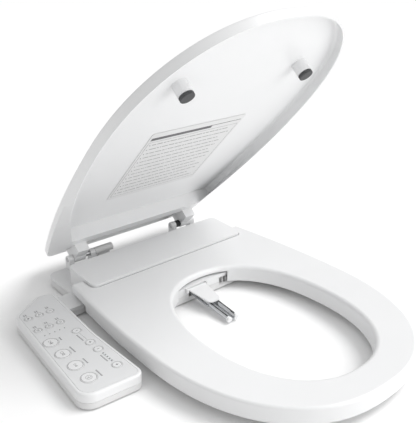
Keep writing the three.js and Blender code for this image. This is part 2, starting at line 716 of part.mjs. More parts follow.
// ---- seat ring ----
const deckClear = () => prism(roundedBox(
  -DECK_HALF_WIDTH - DECK_GAP,
  -DECK_GAP,
  DECK_HALF_WIDTH + DECK_GAP,
  EAR_Y + 60,
  DECK_CORNER + DECK_GAP,
  4,
), -10, 80);

// The space that the ring leaves for the housing below it, grown by grow.
const underWeb = (grow = 0) => join(
  block([-220, HOUSING_FRONT_Y - 4 - grow, -10], [220, 200, EAR_BOTTOM + grow]),
  block([-APRON_HALF_WIDTH - 4 - grow, APRON_FRONT_Y - 4 - grow, -10], [APRON_HALF_WIDTH + 4 + grow, 200, WEB_BOTTOM + grow]),
);

function seatTop() {
  const whole = cut(
    softPrism(seatOutline(EAR_Y), SEAT_BOTTOM, SEAT_TOP, SEAT_EDGE, true),
    prism(openingOutline(), 0, 60),
    deckClear(),
    underWeb(),
  );
  const cavity = cut(
    prism(seatOutline(EAR_Y - SEAT_WALL, -SEAT_WALL), -10, SEAT_TOP - SEAT_WALL),
    prism(openingOutline(SEAT_WALL), -20, 60),
    prism(roundedBox(
      -DECK_HALF_WIDTH - DECK_GAP - SEAT_WALL,
      -DECK_GAP - SEAT_WALL,
      DECK_HALF_WIDTH + DECK_GAP + SEAT_WALL,
      EAR_Y + 60,
      DECK_CORNER,
      4,
    ), -20, 80),
  );
  return cut(whole, cavity, seatPinBore());
}

const ringPlan = (inset) => cut(
  prism(seatOutline(EAR_Y - inset, -inset), 0, 60),
  prism(openingOutline(inset), -1, 61),
  prism(roundedBox(
    -DECK_HALF_WIDTH - DECK_GAP - inset,
    -DECK_GAP - inset,
    DECK_HALF_WIDTH + DECK_GAP + inset,
    EAR_Y + 60,
    DECK_CORNER,
    4,
  ), -1, 61),
);

const seatPinBore = () => barX(SEAT_PIN_RADIUS + GAP, -165, 165, SEAT_AXIS_Y, SEAT_AXIS_Z);

function seatPlate() {
  const inset = SEAT_WALL + GAP;
  const under = cut(ringPlan(inset).trimByPlane([0, 0, 1], SEAT_BOTTOM + 0.4), underWeb(0.2));
  const above = cut(
    ringPlan(inset - 1).trimByPlane([0, 0, 1], SEAT_BOTTOM + 0.4 + RING_PLATE),
    underWeb(0.2 + RING_PLATE),
  );
  return cut(under, above, seatPinBore());
}

function seatHeater() {
  const inset = SEAT_WALL + 3;
  const high = SEAT_TOP - SEAT_WALL - GAP;
  return cut(
    ringPlan(inset).trimByPlane([0, 0, 1], high - HEATER_THICKNESS).trimByPlane([0, 0, -1], -high),
    block([-200, HOUSING_FRONT_Y - 6, 0], [200, 100, 80]),
  );
}

place(product, 'seat_ring_top', seatTop(), plastic(WHITE));
place(product, 'seat_ring_base', seatPlate(), plastic(WHITE, 0.4));
place(product, 'seat_heater', seatHeater(), metal(0xb9bcbd, 0.4));

const BUMPERS = [['front_left', -1, -340], ['front_right', 1, -340], ['rear_left', -1, -120], ['rear_right', 1, -120]];
BUMPERS.forEach(([name, side, y]) => {
  const x = side * (y < -300 ? 96 : 146);
  const foot = softPrism(roundedBox(
    x - SEAT_BUMPER_RADIUS,
    y - 14,
    x + SEAT_BUMPER_RADIUS,
    y + 14,
    SEAT_BUMPER_RADIUS - 0.1,
  ), 0, SEAT_BOTTOM + 0.1, 1, true, 1);
  place(product, `seat_bumper_${name}`, foot, plastic(0xb9bbbb, 0.7));
});

[['seat_pin_left', -1], ['seat_pin_right', 1]].forEach(([name, side]) => {
  const ends = [side * (DECK_HALF_WIDTH - 9), side * (DECK_HALF_WIDTH + 11)];
  const pin = barX(SEAT_PIN_RADIUS, Math.min(...ends), Math.max(...ends), SEAT_AXIS_Y, SEAT_AXIS_Z);
  place(product, name, pin, metal(0xb6b8ba, 0.3));
});
place(
  product,
  'seat_damper',
  barX(4.2, -DECK_HALF_WIDTH + 10, -DECK_HALF_WIDTH + 34, SEAT_AXIS_Y, SEAT_AXIS_Z),
  plastic(DARK, 0.5),
);

// ---- lid, built closed in a frame on its hinge axis and then turned up ----
const lid = new THREE.Group();
lid.position.set(0, LID_AXIS_Y, LID_AXIS_Z);
lid.rotation.x = THREE.MathUtils.degToRad(-LID_OPEN);
product.add(lid);

// The lid's outline with its straight rear edge at rearY, pulled in by inset.
function lidOutline([rearHalf, rearY], inset, sideSteps = 12, frontSteps = 20) {
  const corner = 10;
  const wide = SEAT_HALF_WIDTH + LID_OVERHANG;
  const half = [[rearHalf - inset - corner, rearY - inset], [rearHalf - inset - corner * 0.3, rearY - inset - corner * 0.3]];
  const start = rearY - inset - corner;
  for (let i = 0; i < sideSteps; i += 1) {
    const y = start + (SEAT_WIDE_Y - start) * (i / sideSteps);
    const back = (y - SEAT_WIDE_Y) / (rearY - SEAT_WIDE_Y);
    half.push([wide - inset - (wide - rearHalf) * back * back, y]);
  }
  const reach = SEAT_TIP_Y - LID_LIP + inset - SEAT_WIDE_Y;
  half.push(...quarterCurve(wide - inset, reach, SEAT_WIDE_Y, SEAT_FRONT_POWER, frontSteps));
  const left = half.slice(0, -1).map(([x, y]) => [-x, y]).reverse();
  return [...half, ...left].reverse();
}

// A solid through outlines that have the same number of points, from the lowest up.
function loft(layers) {
  const count = layers[0].points.length;
  const positions = layers.flatMap(({ points, z }) => points.flatMap(([x, y]) => [x, y, z(y)]));
  const faces = [];
  for (let layer = 0; layer < layers.length - 1; layer += 1) {
    for (let i = 0; i < count; i += 1) {
      const a = layer * count + i;
      const b = layer * count + ((i + 1) % count);
      faces.push(a, b, b + count, a, b + count, a + count);
    }
  }
  const cap = (points) => THREE.ShapeUtils.triangulateShape(points.map(([x, y]) => new THREE.Vector2(x, y)), []);
  const last = (layers.length - 1) * count;
  cap(layers[0].points).forEach(([a, b, c]) => faces.push(a, c, b));
  cap(layers[layers.length - 1].points).forEach(([a, b, c]) => faces.push(last + a, last + b, last + c));
  const geometry = new THREE.BufferGeometry();
  geometry.setAttribute('position', new THREE.Float32BufferAttribute(positions, 3));
  geometry.setIndex(faces);
  return solid(geometry);
}

// The height at depth y of what would be at z if the lid didn't grow thinner toward its tip.
function tapered(y, z) {
  const along = (LID_BACK_REAR[1] - y) / (LID_BACK_REAR[1] - SEAT_TIP_Y + LID_LIP);
  return LID_RIM_Z + (z - LID_RIM_Z) * (1 - LID_TAPER * along);
}

// The lid's body pulled in by inset all round, with its underside at bottom.
function lidBody(inset, bottom) {
  const crown = [0, 0.34, 0.67, 1].map((part) => {
    const angle = (part * Math.PI) / 2;
    const drop = LID_CROWN * (1 - Math.sin(angle));
    return {
      points: lidOutline(LID_BACK_REAR, inset + (LID_CROWN - inset) * (1 - Math.cos(angle))),
      z: (y) => tapered(y, LID_TOP_Z - drop) - inset,
    };
  });
  return loft([
    { points: lidOutline(LID_RIM_REAR, inset), z: () => bottom },
    ...(bottom < LID_RIM_Z ? [{ points: lidOutline(LID_RIM_REAR, inset), z: () => LID_RIM_Z }] : []),
    { points: lidOutline(LID_BACK_REAR, inset), z: (y) => tapered(y, LID_SHOULDER_Z) },
    ...crown,
  ]);
}

const ceilingAt = (y) => tapered(y, LID_TOP_Z) - LID_WALL;

function lidShell() {
  const hollow = lidBody(LID_WALL, LID_RIM_Z - 4).trimByPlane([0, -1, 0], -LID_LEDGE_Y);
  const pocket = join(
    block([-96, LID_LEDGE_Y + LID_WALL, LID_RIM_Z + LID_WALL + 2], [96, LID_BACK_REAR[1] - 5, ceilingAt(LID_LEDGE_Y)]),
    block([-96, LID_RIM_REAR[1] + 3, LID_RIM_Z - 5], [96, LID_BACK_REAR[1] - 5, ceilingAt(LID_LEDGE_Y)]),
  );
  const dish = cut(lidBody(0, LID_RIM_Z), hollow, pocket);
  const arms = [1, -1].map((side) => {
    const ends = [side * LID_ARM_INSIDE, side * LID_ARM_OUTSIDE];
    const low = Math.min(...ends);
    const high = Math.max(...ends);
    const web = block(
      [low, LID_RIM_REAR[1] - 2, LID_AXIS_Z - 3],
      [high, LID_AXIS_Y + LID_BARREL_RADIUS, LID_SHOULDER_Z + 3],
    );
    return join(web, barX(LID_BARREL_RADIUS, low, high, LID_AXIS_Y, LID_AXIS_Z));
  });
  const posts = [1, -1].map((side) => disc(
    BUMPER_POST_RADIUS,
    SEAT_TOP + PAD_HEIGHT + 2 * GAP,
    ceilingAt(BUMPER_Y) + 1.2,
    side * BUMPER_X,
    BUMPER_Y,
    24,
  ));
  const bore = barX(LID_PIN_RADIUS + GAP, -200, 200, LID_AXIS_Y, LID_AXIS_Z);
  return cut(join(dish, ...arms, ...posts), bore);
}

const onAxis = (manifold) => manifold.translate([0, -LID_AXIS_Y, -LID_AXIS_Z]);

place(lid, 'lid_shell', onAxis(lidShell()), plastic(WHITE));
[['lid_pad_left', -1], ['lid_pad_right', 1]].forEach(([name, side]) => {
  const pad = disc(
    BUMPER_POST_RADIUS - 0.4,
    SEAT_TOP + GAP,
    SEAT_TOP + GAP + PAD_HEIGHT,
    side * BUMPER_X,
    BUMPER_Y,
    24,
  );
  place(lid, name, onAxis(pad), plastic(DARK, 0.8));
});

function label() {
  const slope = Math.atan2(ceilingAt(0) - ceilingAt(-100), 100);
  const plate = prism(roundedBox(
    -LABEL_WIDTH / 2,
    -LABEL_LENGTH / 2,
    LABEL_WIDTH / 2,
    LABEL_LENGTH / 2,
    4,
  ), -GAP, 0);
  return plate
    .rotate([THREE.MathUtils.radToDeg(slope), 0, 0])
    .translate([0, LABEL_MIDDLE_Y, ceilingAt(LABEL_MIDDLE_Y) - GAP]);
}
place(lid, 'lid_label', onAxis(label()), plastic(0xf0f0ee, 0.6));

function hingeBush() {
  const x0 = LID_ARM_INSIDE - sideGap - BUSH_WIDTH;
  const grooves = [1.6, 4, 6.4].map((along) => cut(
    barX(9, x0 + along, x0 + along + 1, LID_AXIS_Y, LID_AXIS_Z),
    barX(5.2, x0 + along, x0 + along + 1, LID_AXIS_Y, LID_AXIS_Z),
  ));
  return cut(
    barX(6.2, x0, x0 + BUSH_WIDTH, LID_AXIS_Y, LID_AXIS_Z),
    barX(LID_PIN_RADIUS + GAP, x0 - 1, x0 + BUSH_WIDTH + 1, LID_AXIS_Y, LID_AXIS_Z),
    ...grooves,
  );
}
place(product, 'lid_hinge_bush', hingeBush(), plastic(0x3c3e40, 0.5));

[['lid_pin_left', -1], ['lid_pin_right', 1]].forEach(([name, side]) => {
  const ends = [side * (INNER_TOWER[0] + 1), side * (OUTER_TOWER[1] - 0.5)];
  const pin = barX(LID_PIN_RADIUS, Math.min(...ends), Math.max(...ends), LID_AXIS_Y, LID_AXIS_Z);
  place(product, name, pin, metal(0xb6b8ba, 0.3));
});

const damperEnd = -INNER_TOWER[0] + sideGap;
place(product, 'lid_damper', join(
  barX(6.4, damperEnd, damperEnd + 34, LID_AXIS_Y, LID_AXIS_Z),
  block([damperEnd + 6, LID_AXIS_Y - 4, SHELF_Z + GAP], [damperEnd + 28, LID_AXIS_Y + 4, LID_AXIS_Z - 4]),
), plastic(0xe4e4e2, 0.4));

// ---- control arm ----
const ARM_PLAN = [
  [ARM_X, 52, 8],
  [ARM_X - 25, 56, 12],
  [ARM_X - 75, 24, 14],
  [ARM_X - 95, -192, 20],
  [ARM_X - 7, -198, 12],
  [ARM_X - 9, -80, 300],
];

// The arm's outline pulled in by inset: each corner moves along its own bisector.
function armPlan(inset, plan = ARM_PLAN) {
  const count = plan.length;
  const corners = plan.map(([x, y, radius], i) => {
    const corner = new THREE.Vector2(x, y);
    const before = new THREE.Vector2(...plan[(i + count - 1) % count]).sub(corner).normalize();
    const after = new THREE.Vector2(...plan[(i + 1) % count]).sub(corner).normalize();
    const half = Math.acos(THREE.MathUtils.clamp(before.dot(after), -1, 1)) / 2;
    const turn = before.x * after.y - before.y * after.x; // below zero at an outward corner
    const inward = before.clone().add(after).normalize().multiplyScalar(turn < 0 ? 1 : -1);
    corner.addScaledVector(inward, inset / Math.sin(half));
    return [corner.x, corner.y, Math.max(radius - Math.sign(-turn) * inset, 1)];
  });
  return rounded(corners, 5);
}

// The neck between the arm and the housing, pulled in by inset at the front and rear.
const neck = (inset, z0, z1) => block(
  [ARM_X - 15, NECK_FRONT_Y + inset, z0],
  [-HOUSING_HALF_WIDTH - GAP, NECK_REAR_Y - inset, z1],
);

// Each key's place: x from the inner side of the arm, and y.
const KEY_ROWS = {
  small: [[-63, 6], [-46, 6], [-29, 6], [-66, -29], [-49, -29], [-32, -29]],
  large: [[-67, -66], [-67, -98], [-67, -130], [-67, -162]],
  pair: [[-26, -63], [-26, -98], [-26, -118], [-26, -162]],
};
const KEY_NAMES = {
  small: ['key_stop', 'key_massage', 'key_move', 'key_dry', 'key_power', 'key_light'],
  large: ['key_rear_wash', 'key_front_wash', 'key_kids_wash', 'key_auto_wash'],
  pair: ['key_water_minus', 'key_water_plus', 'key_seat_minus', 'key_seat_plus'],
};
const KEY_RADII = { small: SMALL_KEY_RADIUS, large: LARGE_KEY_RADIUS, pair: PAIR_KEY_RADIUS };
const keys = Object.keys(KEY_ROWS).flatMap((kind) => KEY_ROWS[kind].map(([x, y], i) => (
  { name: KEY_NAMES[kind][i], x: ARM_X + x, y, radius: KEY_RADII[kind] }
)));
const LIGHT = { x: ARM_X - 26, y0: -152, y1: -128, halfWidth: 1.2 };

const keyHoles = (z0, z1) => keys.map(({ x, y, radius }) => disc(radius + KEY_CLEARANCE, z0, z1, x, y, 20));
const lightHole = (grow, z0, z1) => block(
  [LIGHT.x - LIGHT.halfWidth - grow, LIGHT.y0 - grow, z0],
  [LIGHT.x + LIGHT.halfWidth + grow, LIGHT.y1 + grow, z1],
);

function armLower() {
  const outer = join(prism(armPlan(0), ARM_BOTTOM, ARM_SPLIT), neck(0, ARM_BOTTOM, ARM_SPLIT));
  return cut(
    outer,
    prism(armPlan(ARM_WALL), ARM_BOTTOM + ARM_WALL, ARM_SPLIT + 1),
    neck(ARM_WALL, ARM_BOTTOM + ARM_WALL, ARM_SPLIT + 1),
  );
}

function armUpper() {
  const low = ARM_SPLIT + GAP;
  const outer = join(
    softPrism(armPlan(0), low, ARM_TOP, 3),
    neck(0, low, SHELF_Z),
  );
  const roof = ARM_TOP - OVERLAY_THICKNESS - ARM_WALL;
  return cut(
    outer,
    prism(armPlan(ARM_WALL), low - 1, roof),
    neck(ARM_WALL, low - 1, SHELF_Z - ARM_WALL),
    prism(armPlan(OVERLAY_INSET), ARM_TOP - OVERLAY_THICKNESS, ARM_TOP + 1),
    ...keyHoles(roof - 1, ARM_TOP + 1),
    lightHole(GAP, roof - 1, ARM_TOP + 1),
  );
}

function overlay() {
  return cut(
    prism(armPlan(OVERLAY_INSET + GAP), ARM_TOP - OVERLAY_THICKNESS + 0.1, ARM_TOP + 0.1),
    ...keyHoles(ARM_TOP - 3, ARM_TOP + 1),
    lightHole(GAP, ARM_TOP - 3, ARM_TOP + 1),
  );
}

function controlBoard() {
  const high = ARM_TOP + KEY_PROUD - KEY_HEIGHT - 1.4;
  return prism(armPlan(ARM_WALL + 6), high - 1.6, high);
}

place(product, 'arm_lower_shell', armLower(), plastic(WHITE, 0.35));
place(product, 'arm_upper_shell', armUpper(), plastic(WHITE));
place(product, 'panel_overlay', overlay(), plastic(0xe9eaea, 0.3));
place(product, 'control_board', controlBoard(), plastic(0x2f6b46, 0.5));
place(product, 'level_light_strip', lightHole(0, ARM_TOP - 4.2, ARM_TOP + 0.2), plastic(0xbfd7e6, 0.2));
keys.forEach(({ name, x, y, radius }) => {
  const top = ARM_TOP + KEY_PROUD;
  const cap = softDisc(radius, top - KEY_HEIGHT, top, 0.5, x, y);
  place(product, name, cap, plastic(0xf2f2f1, 0.3));
});

export default product;
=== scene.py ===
# Electric bidet seat: finished surfaces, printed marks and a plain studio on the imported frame.
import json
import math

import bpy
from mathutils import Matrix, Vector

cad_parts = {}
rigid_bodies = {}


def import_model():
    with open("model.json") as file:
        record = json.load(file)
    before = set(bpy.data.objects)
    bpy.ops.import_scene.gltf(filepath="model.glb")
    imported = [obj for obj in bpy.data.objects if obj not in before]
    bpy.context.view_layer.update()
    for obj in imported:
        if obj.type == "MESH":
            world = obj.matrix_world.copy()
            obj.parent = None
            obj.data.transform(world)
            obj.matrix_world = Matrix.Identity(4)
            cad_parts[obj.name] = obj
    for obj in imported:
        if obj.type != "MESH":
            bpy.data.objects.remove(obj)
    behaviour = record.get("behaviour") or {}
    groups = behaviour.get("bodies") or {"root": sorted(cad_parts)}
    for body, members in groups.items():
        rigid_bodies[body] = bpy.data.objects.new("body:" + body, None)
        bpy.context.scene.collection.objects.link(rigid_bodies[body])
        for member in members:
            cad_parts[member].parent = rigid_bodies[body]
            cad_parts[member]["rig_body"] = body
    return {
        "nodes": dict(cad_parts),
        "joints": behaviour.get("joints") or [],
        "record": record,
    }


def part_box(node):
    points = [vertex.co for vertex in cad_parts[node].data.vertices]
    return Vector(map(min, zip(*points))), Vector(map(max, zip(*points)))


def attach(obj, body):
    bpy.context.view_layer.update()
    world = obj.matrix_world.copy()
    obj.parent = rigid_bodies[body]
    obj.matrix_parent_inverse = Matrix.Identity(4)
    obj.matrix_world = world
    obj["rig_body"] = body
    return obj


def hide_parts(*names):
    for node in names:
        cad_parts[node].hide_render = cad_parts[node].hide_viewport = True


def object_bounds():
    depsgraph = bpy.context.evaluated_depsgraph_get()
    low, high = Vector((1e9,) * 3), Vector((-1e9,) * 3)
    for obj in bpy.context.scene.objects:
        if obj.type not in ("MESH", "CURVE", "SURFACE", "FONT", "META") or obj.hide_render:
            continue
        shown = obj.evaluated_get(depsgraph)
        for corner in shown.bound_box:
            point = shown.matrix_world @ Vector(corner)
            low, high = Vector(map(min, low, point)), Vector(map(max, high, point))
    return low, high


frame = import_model()
nodes = frame["nodes"]
joints = {joint["name"]: joint for joint in frame["joints"]}
cad_box = [list(corner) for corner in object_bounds()]
MM = 0.001


# ---- camera ----
CAMERA_AZIMUTH = -41.0
CAMERA_ELEVATION = 23.0
CAMERA_ROLL = 0.66
CAMERA_PLACE = (-0.5868, -0.8173, 0.5347)
SENSOR_WIDTH = 36
LENS_LENGTH = 56.4
NEAREST_SEEN = 0.05
FRAME_SHIFT = -0.008


def place_camera():
    azimuth = math.radians(CAMERA_AZIMUTH)
    elevation = math.radians(CAMERA_ELEVATION)
    roll = math.radians(CAMERA_ROLL)
    back = Vector((
        math.sin(azimuth) * math.cos(elevation),
        -math.cos(azimuth) * math.cos(elevation),
        math.sin(elevation),
    ))
    level = Vector((math.cos(azimuth), math.sin(azimuth), 0))
    rise = back.cross(level)
    right = level * math.cos(roll) + rise * math.sin(roll)
    up = rise * math.cos(roll) - level * math.sin(roll)
    bpy.ops.object.camera_add()
    camera = bpy.context.object
    camera.name = "studio_camera"
    turn = Matrix((right, up, back)).transposed().to_4x4()
    camera.matrix_world = Matrix.Translation(CAMERA_PLACE) @ turn
    camera.data.sensor_width = SENSOR_WIDTH
    camera.data.lens = LENS_LENGTH
    camera.data.clip_start = NEAREST_SEEN
    camera.data.shift_y = FRAME_SHIFT
    bpy.context.scene.camera = camera


place_camera()


# ---- node groups shared by the finishes ----
GROUP_OUTPUTS = [
    ("Color", "NodeSocketColor"),
    ("Roughness", "NodeSocketFloat"),
    ("Normal", "NodeSocketVector"),
]
DRIFT_SCALE = 9
GRAIN_SCALE = 900
BRUSH_STRETCH = (900, 30, 30)
GRAIN_HEIGHT = 0.0002


def new_group(name, inputs, outputs):
    group = bpy.data.node_groups.new(name, "ShaderNodeTree")
    for label, kind, value in inputs:
        made = group.interface.new_socket(label, in_out="INPUT", socket_type=kind)
        if value is not None:
            made.default_value = value
    for label, kind in outputs:
        group.interface.new_socket(label, in_out="OUTPUT", socket_type=kind)
    start = group.nodes.new("NodeGroupInput")
    end = group.nodes.new("NodeGroupOutput")
    return group, start, end


def noise(tree, scale, detail, roughness=0.5):
    texture = tree.nodes.new("ShaderNodeTexNoise")
    texture.inputs["Scale"].default_value = scale
    texture.inputs["Detail"].default_value = detail
    texture.inputs["Roughness"].default_value = roughness
    return texture


# Colour and roughness that drift over a moulding, with a faint film of dust on what faces up.
def moulding_group():
    group, start, end = new_group(
        "moulding_surface",
        [
            ("Color", "NodeSocketColor", (0.9, 0.9, 0.9, 1)),
            ("Shade", "NodeSocketColor", (0.8, 0.8, 0.8, 1)),
            ("Roughness", "NodeSocketFloat", 0.3),
            ("Spread", "NodeSocketFloat", 0.06),
            ("Dust", "NodeSocketFloat", 0.05),
            ("Grain", "NodeSocketFloat", 0.02),
        ],
        GROUP_OUTPUTS,
    )
    link = group.links.new
    place = group.nodes.new("ShaderNodeTexCoord")
    drift = noise(group, DRIFT_SCALE, 3)
    fine = noise(group, GRAIN_SCALE, 2, 0.6)
    link(place.outputs["Object"], drift.inputs["Vector"])
    link(place.outputs["Object"], fine.inputs["Vector"])
    blend = group.nodes.new("ShaderNodeMix")
    blend.data_type = "RGBA"
    fade = group.nodes.new("ShaderNodeMapRange")
    fade.interpolation_type = "SMOOTHSTEP"
    fade.inputs["From Min"].default_value = 0.2
    fade.inputs["From Max"].default_value = 0.8
    fade.inputs["To Max"].default_value = 0.5
    link(drift.outputs["Fac"], fade.inputs["Value"])
    link(fade.outputs["Result"], blend.inputs["Factor"])
    link(start.outputs["Color"], blend.inputs["A"])
    link(start.outputs["Shade"], blend.inputs["B"])
    link(blend.outputs["Result"], end.inputs["Color"])
    facing = group.nodes.new("ShaderNodeNewGeometry")
    split = group.nodes.new("ShaderNodeSeparateXYZ")
    link(facing.outputs["Normal"], split.inputs["Vector"])
    dust = group.nodes.new("ShaderNodeMath")
    dust.operation = "MULTIPLY"
    dust.use_clamp = True
    link(split.outputs["Z"], dust.inputs[0])
    link(start.outputs["Dust"], dust.inputs[1])
    wander = group.nodes.new("ShaderNodeMath")
    wander.operation = "MULTIPLY_ADD"
    link(drift.outputs["Fac"], wander.inputs[0])
    link(start.outputs["Spread"], wander.inputs[1])
    link(start.outputs["Roughness"], wander.inputs[2])
    total = group.nodes.new("ShaderNodeMath")
    link(wander.outputs["Value"], total.inputs[0])
    link(dust.outputs["Value"], total.inputs[1])
    link(total.outputs["Value"], end.inputs["Roughness"])
    bump = group.nodes.new("ShaderNodeBump")
    bump.inputs["Distance"].default_value = GRAIN_HEIGHT
    link(start.outputs["Grain"], bump.inputs["Strength"])
    link(fine.outputs["Fac"], bump.inputs["Height"])
    link(bump.outputs["Normal"], end.inputs["Normal"])
    return group


# Fine brush lines: close together along X and long in the other two directions.
def brushed_group():
    group, start, end = new_group(
        "brushed_lines",
        [
            ("Color", "NodeSocketColor", (0.6, 0.6, 0.6, 1)),
            ("Shade", "NodeSocketColor", (0.5, 0.5, 0.5, 1)),
            ("Roughness", "NodeSocketFloat", 0.3),
            ("Spread", "NodeSocketFloat", 0.12),
            ("Grain", "NodeSocketFloat", 0.1),
        ],
        GROUP_OUTPUTS,
    )
    link = group.links.new
    place = group.nodes.new("ShaderNodeTexCoord")
    stretch = group.nodes.new("ShaderNodeMapping")
    stretch.inputs["Scale"].default_value = BRUSH_STRETCH
    lines = noise(group, 1, 3, 0.6)
    link(place.outputs["Object"], stretch.inputs["Vector"])
    link(stretch.outputs["Vector"], lines.inputs["Vector"])
    blend = group.nodes.new("ShaderNodeMix")
    blend.data_type = "RGBA"
    link(lines.outputs["Fac"], blend.inputs["Factor"])
    link(start.outputs["Color"], blend.inputs["A"])
    link(start.outputs["Shade"], blend.inputs["B"])
    link(blend.outputs["Result"], end.inputs["Color"])
    wander = group.nodes.new("ShaderNodeMath")
    wander.operation = "MULTIPLY_ADD"
    link(lines.outputs["Fac"], wander.inputs[0])
    link(start.outputs["Spread"], wander.inputs[1])
    link(start.outputs["Roughness"], wander.inputs[2])
    link(wander.outputs["Value"], end.inputs["Roughness"])
    bump = group.nodes.new("ShaderNodeBump")
    bump.inputs["Distance"].default_value = GRAIN_HEIGHT
    link(start.outputs["Grain"], bump.inputs["Strength"])
    link(lines.outputs["Fac"], bump.inputs["Height"])
    link(bump.outputs["Normal"], end.inputs["Normal"])
    return group


MOULDING = moulding_group()
BRUSHED = brushed_group()


def finish_material(name, group, color, shade, values, **shader):
    material = bpy.data.materials.new(name)
    material.use_nodes = True
    tree = material.node_tree
    surface = tree.nodes["Principled BSDF"]
    for socket, value in shader.items():
        surface.inputs[socket.replace("_", " ")].default_value = value
    effect = tree.nodes.new("ShaderNodeGroup")
    effect.node_tree = group
    effect.inputs["Color"].default_value = (*color, 1)
    effect.inputs["Shade"].default_value = (*shade, 1)
    for socket, value in values.items():
        effect.inputs[socket].default_value = value
    tree.links.new(effect.outputs["Color"], surface.inputs["Base Color"])
    tree.links.new(effect.outputs["Roughness"], surface.inputs["Roughness"])
    tree.links.new(effect.outputs["Normal"], surface.inputs["Normal"])
    return material


def plastic(name, color, shade, roughness, spread=0.06, dust=0.04, grain=0.02, **shader):
    values = {"Roughness": roughness, "Spread": spread, "Dust": dust, "Grain": grain}
    return finish_material(name, MOULDING, color, shade, values, **shader)


def metal(name, color, shade, roughness, spread=0.1, grain=0.08):
    values = {"Roughness": roughness, "Spread": spread, "Grain": grain}
    return finish_material(name, BRUSHED, color, shade, values, Metallic=1.0)


# One finish for each material slot: name, colour, its shade, roughness, then what differs.
FINISHES = {
    "white_gloss": plastic(
        "polished_white_shell", (0.76, 0.763, 0.767), (0.73, 0.733, 0.737), 0.3,
        Coat_Weight=0.15, Coat_Roughness=0.3,
    ),
    "white_satin": plastic(
        "satin_white_moulding", (0.68, 0.68, 0.68), (0.64, 0.64, 0.635), 0.42, grain=0.08,
    ),
    "grey_plastic": plastic(
        "grey_moulding", (0.32, 0.33, 0.335), (0.27, 0.275, 0.28), 0.5, grain=0.12,
    ),
    "dark_plastic": plastic(
        "dark_moulding", (0.03, 0.031, 0.034), (0.05, 0.05, 0.052), 0.42, grain=0.12,
    ),
    "black_rubber": plastic(
        "dark_rubber", (0.06, 0.061, 0.064), (0.1, 0.1, 0.1), 0.68, dust=0.12, grain=0.2,
    ),
    "grey_rubber": plastic(
        "pale_rubber", (0.45, 0.45, 0.445), (0.38, 0.38, 0.37), 0.68, dust=0.1, grain=0.2,
    ),
    "chrome": metal("plated_tube", (0.7, 0.71, 0.72), (0.5, 0.51, 0.53), 0.06, 0.05, 0.01),
    "steel": metal("turned_steel", (0.5, 0.5, 0.51), (0.4, 0.4, 0.41), 0.3),
    "foil": metal("heater_foil", (0.62, 0.63, 0.64), (0.5, 0.51, 0.52), 0.35),
    "gear_plastic": plastic(
        "cream_gear", (0.72, 0.68, 0.56), (0.62, 0.58, 0.47), 0.45, grain=0.06,
    ),
    "circuit_board": plastic(
        "green_board", (0.03, 0.16, 0.06), (0.02, 0.1, 0.05), 0.38, grain=0.1,
    ),
    "panel_film": plastic(
        "panel_skin", (0.7, 0.705, 0.71), (0.67, 0.675, 0.68), 0.26, grain=0.01,
        Coat_Weight=0.2, Coat_Roughness=0.15,
    ),
    "light_strip": plastic("frosted_light", (0.74, 0.76, 0.77), (0.68, 0.7, 0.72), 0.3),
    "label_film": plastic("label_skin", (0.7, 0.7, 0.7), (0.67, 0.67, 0.67), 0.4, grain=0.03),
}
INK = plastic("grey_ink", (0.11, 0.11, 0.115), (0.15, 0.15, 0.155), 0.55, grain=0.02)
PALE_INK = plastic("pale_ink", (0.24, 0.24, 0.245), (0.3, 0.3, 0.305), 0.55, grain=0.02)

slots = {part["node"]: part["material_slot"] for part in frame["record"]["subparts"]}
for node_name, node in nodes.items():
    node.data.materials.clear()
    node.data.materials.append(FINISHES[slots[node_name]])


# ---- modelling helpers ----
SMOOTH_BELOW = 32
WELD_DISTANCE = 0.00003
FLAT_WITHIN = 0.7


def only(obj):
    if bpy.context.object and bpy.context.object.mode != "OBJECT":
        bpy.ops.object.mode_set(mode="OBJECT")
    bpy.ops.object.select_all(action="DESELECT")
    obj.select_set(True)
    bpy.context.view_layer.objects.active = obj


def body_of_node(node_name):
    return nodes[node_name]["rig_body"]


def round_edges(piece, width, segments, angle):
    only(piece)
    bevel = piece.modifiers.new("edges", "BEVEL")
    bevel.width = width
    bevel.segments = segments
    bevel.limit_method = "ANGLE"
    bevel.angle_limit = math.radians(angle)
    bevel.harden_normals = False
    bpy.ops.object.modifier_apply(modifier=bevel.name)
    bpy.ops.object.shade_smooth_by_angle(angle=math.radians(SMOOTH_BELOW))
    even = piece.modifiers.new("even_normals", "WEIGHTED_NORMAL")
    even.keep_sharp = True
    bpy.ops.object.modifier_apply(modifier=even.name)


# A finished copy of a CAD node, with whole flat faces and every hard edge rounded.
def finished(node_name, width, segments=2, angle=35, shape=None):
    piece = bpy.data.objects.new(node_name + "_finish", nodes[node_name].data.copy())
    bpy.context.scene.collection.objects.link(piece)
    only(piece)
    bpy.ops.object.mode_set(mode="EDIT")
    bpy.ops.mesh.select_all(action="SELECT")
    bpy.ops.mesh.remove_doubles(threshold=WELD_DISTANCE)
    bpy.ops.mesh.dissolve_limited(angle_limit=math.radians(FLAT_WITHIN))
    bpy.ops.object.mode_set(mode="OBJECT")
    if shape:
        shape(piece)
    round_edges(piece, width, segments, angle)
    piece.data.materials.clear()
    piece.data.materials.append(FINISHES[slots[node_name]])
    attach(piece, body_of_node(node_name))
    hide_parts(node_name)
    return piece


def select_edges(piece, wanted):
    only(piece)
    bpy.ops.object.mode_set(mode="EDIT")
    bpy.ops.mesh.select_mode(type="EDGE")
    bpy.ops.mesh.select_all(action="DESELECT")
    bpy.ops.object.mode_set(mode="OBJECT")
    points = piece.data.vertices
    for edge in piece.data.edges:
        edge.select = wanted(points[edge.vertices[0]].co, points[edge.vertices[1]].co)
    bpy.ops.object.mode_set(mode="EDIT")


seat_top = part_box("seat_ring_top")[1].z
deck_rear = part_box("rear_cover")[1].y
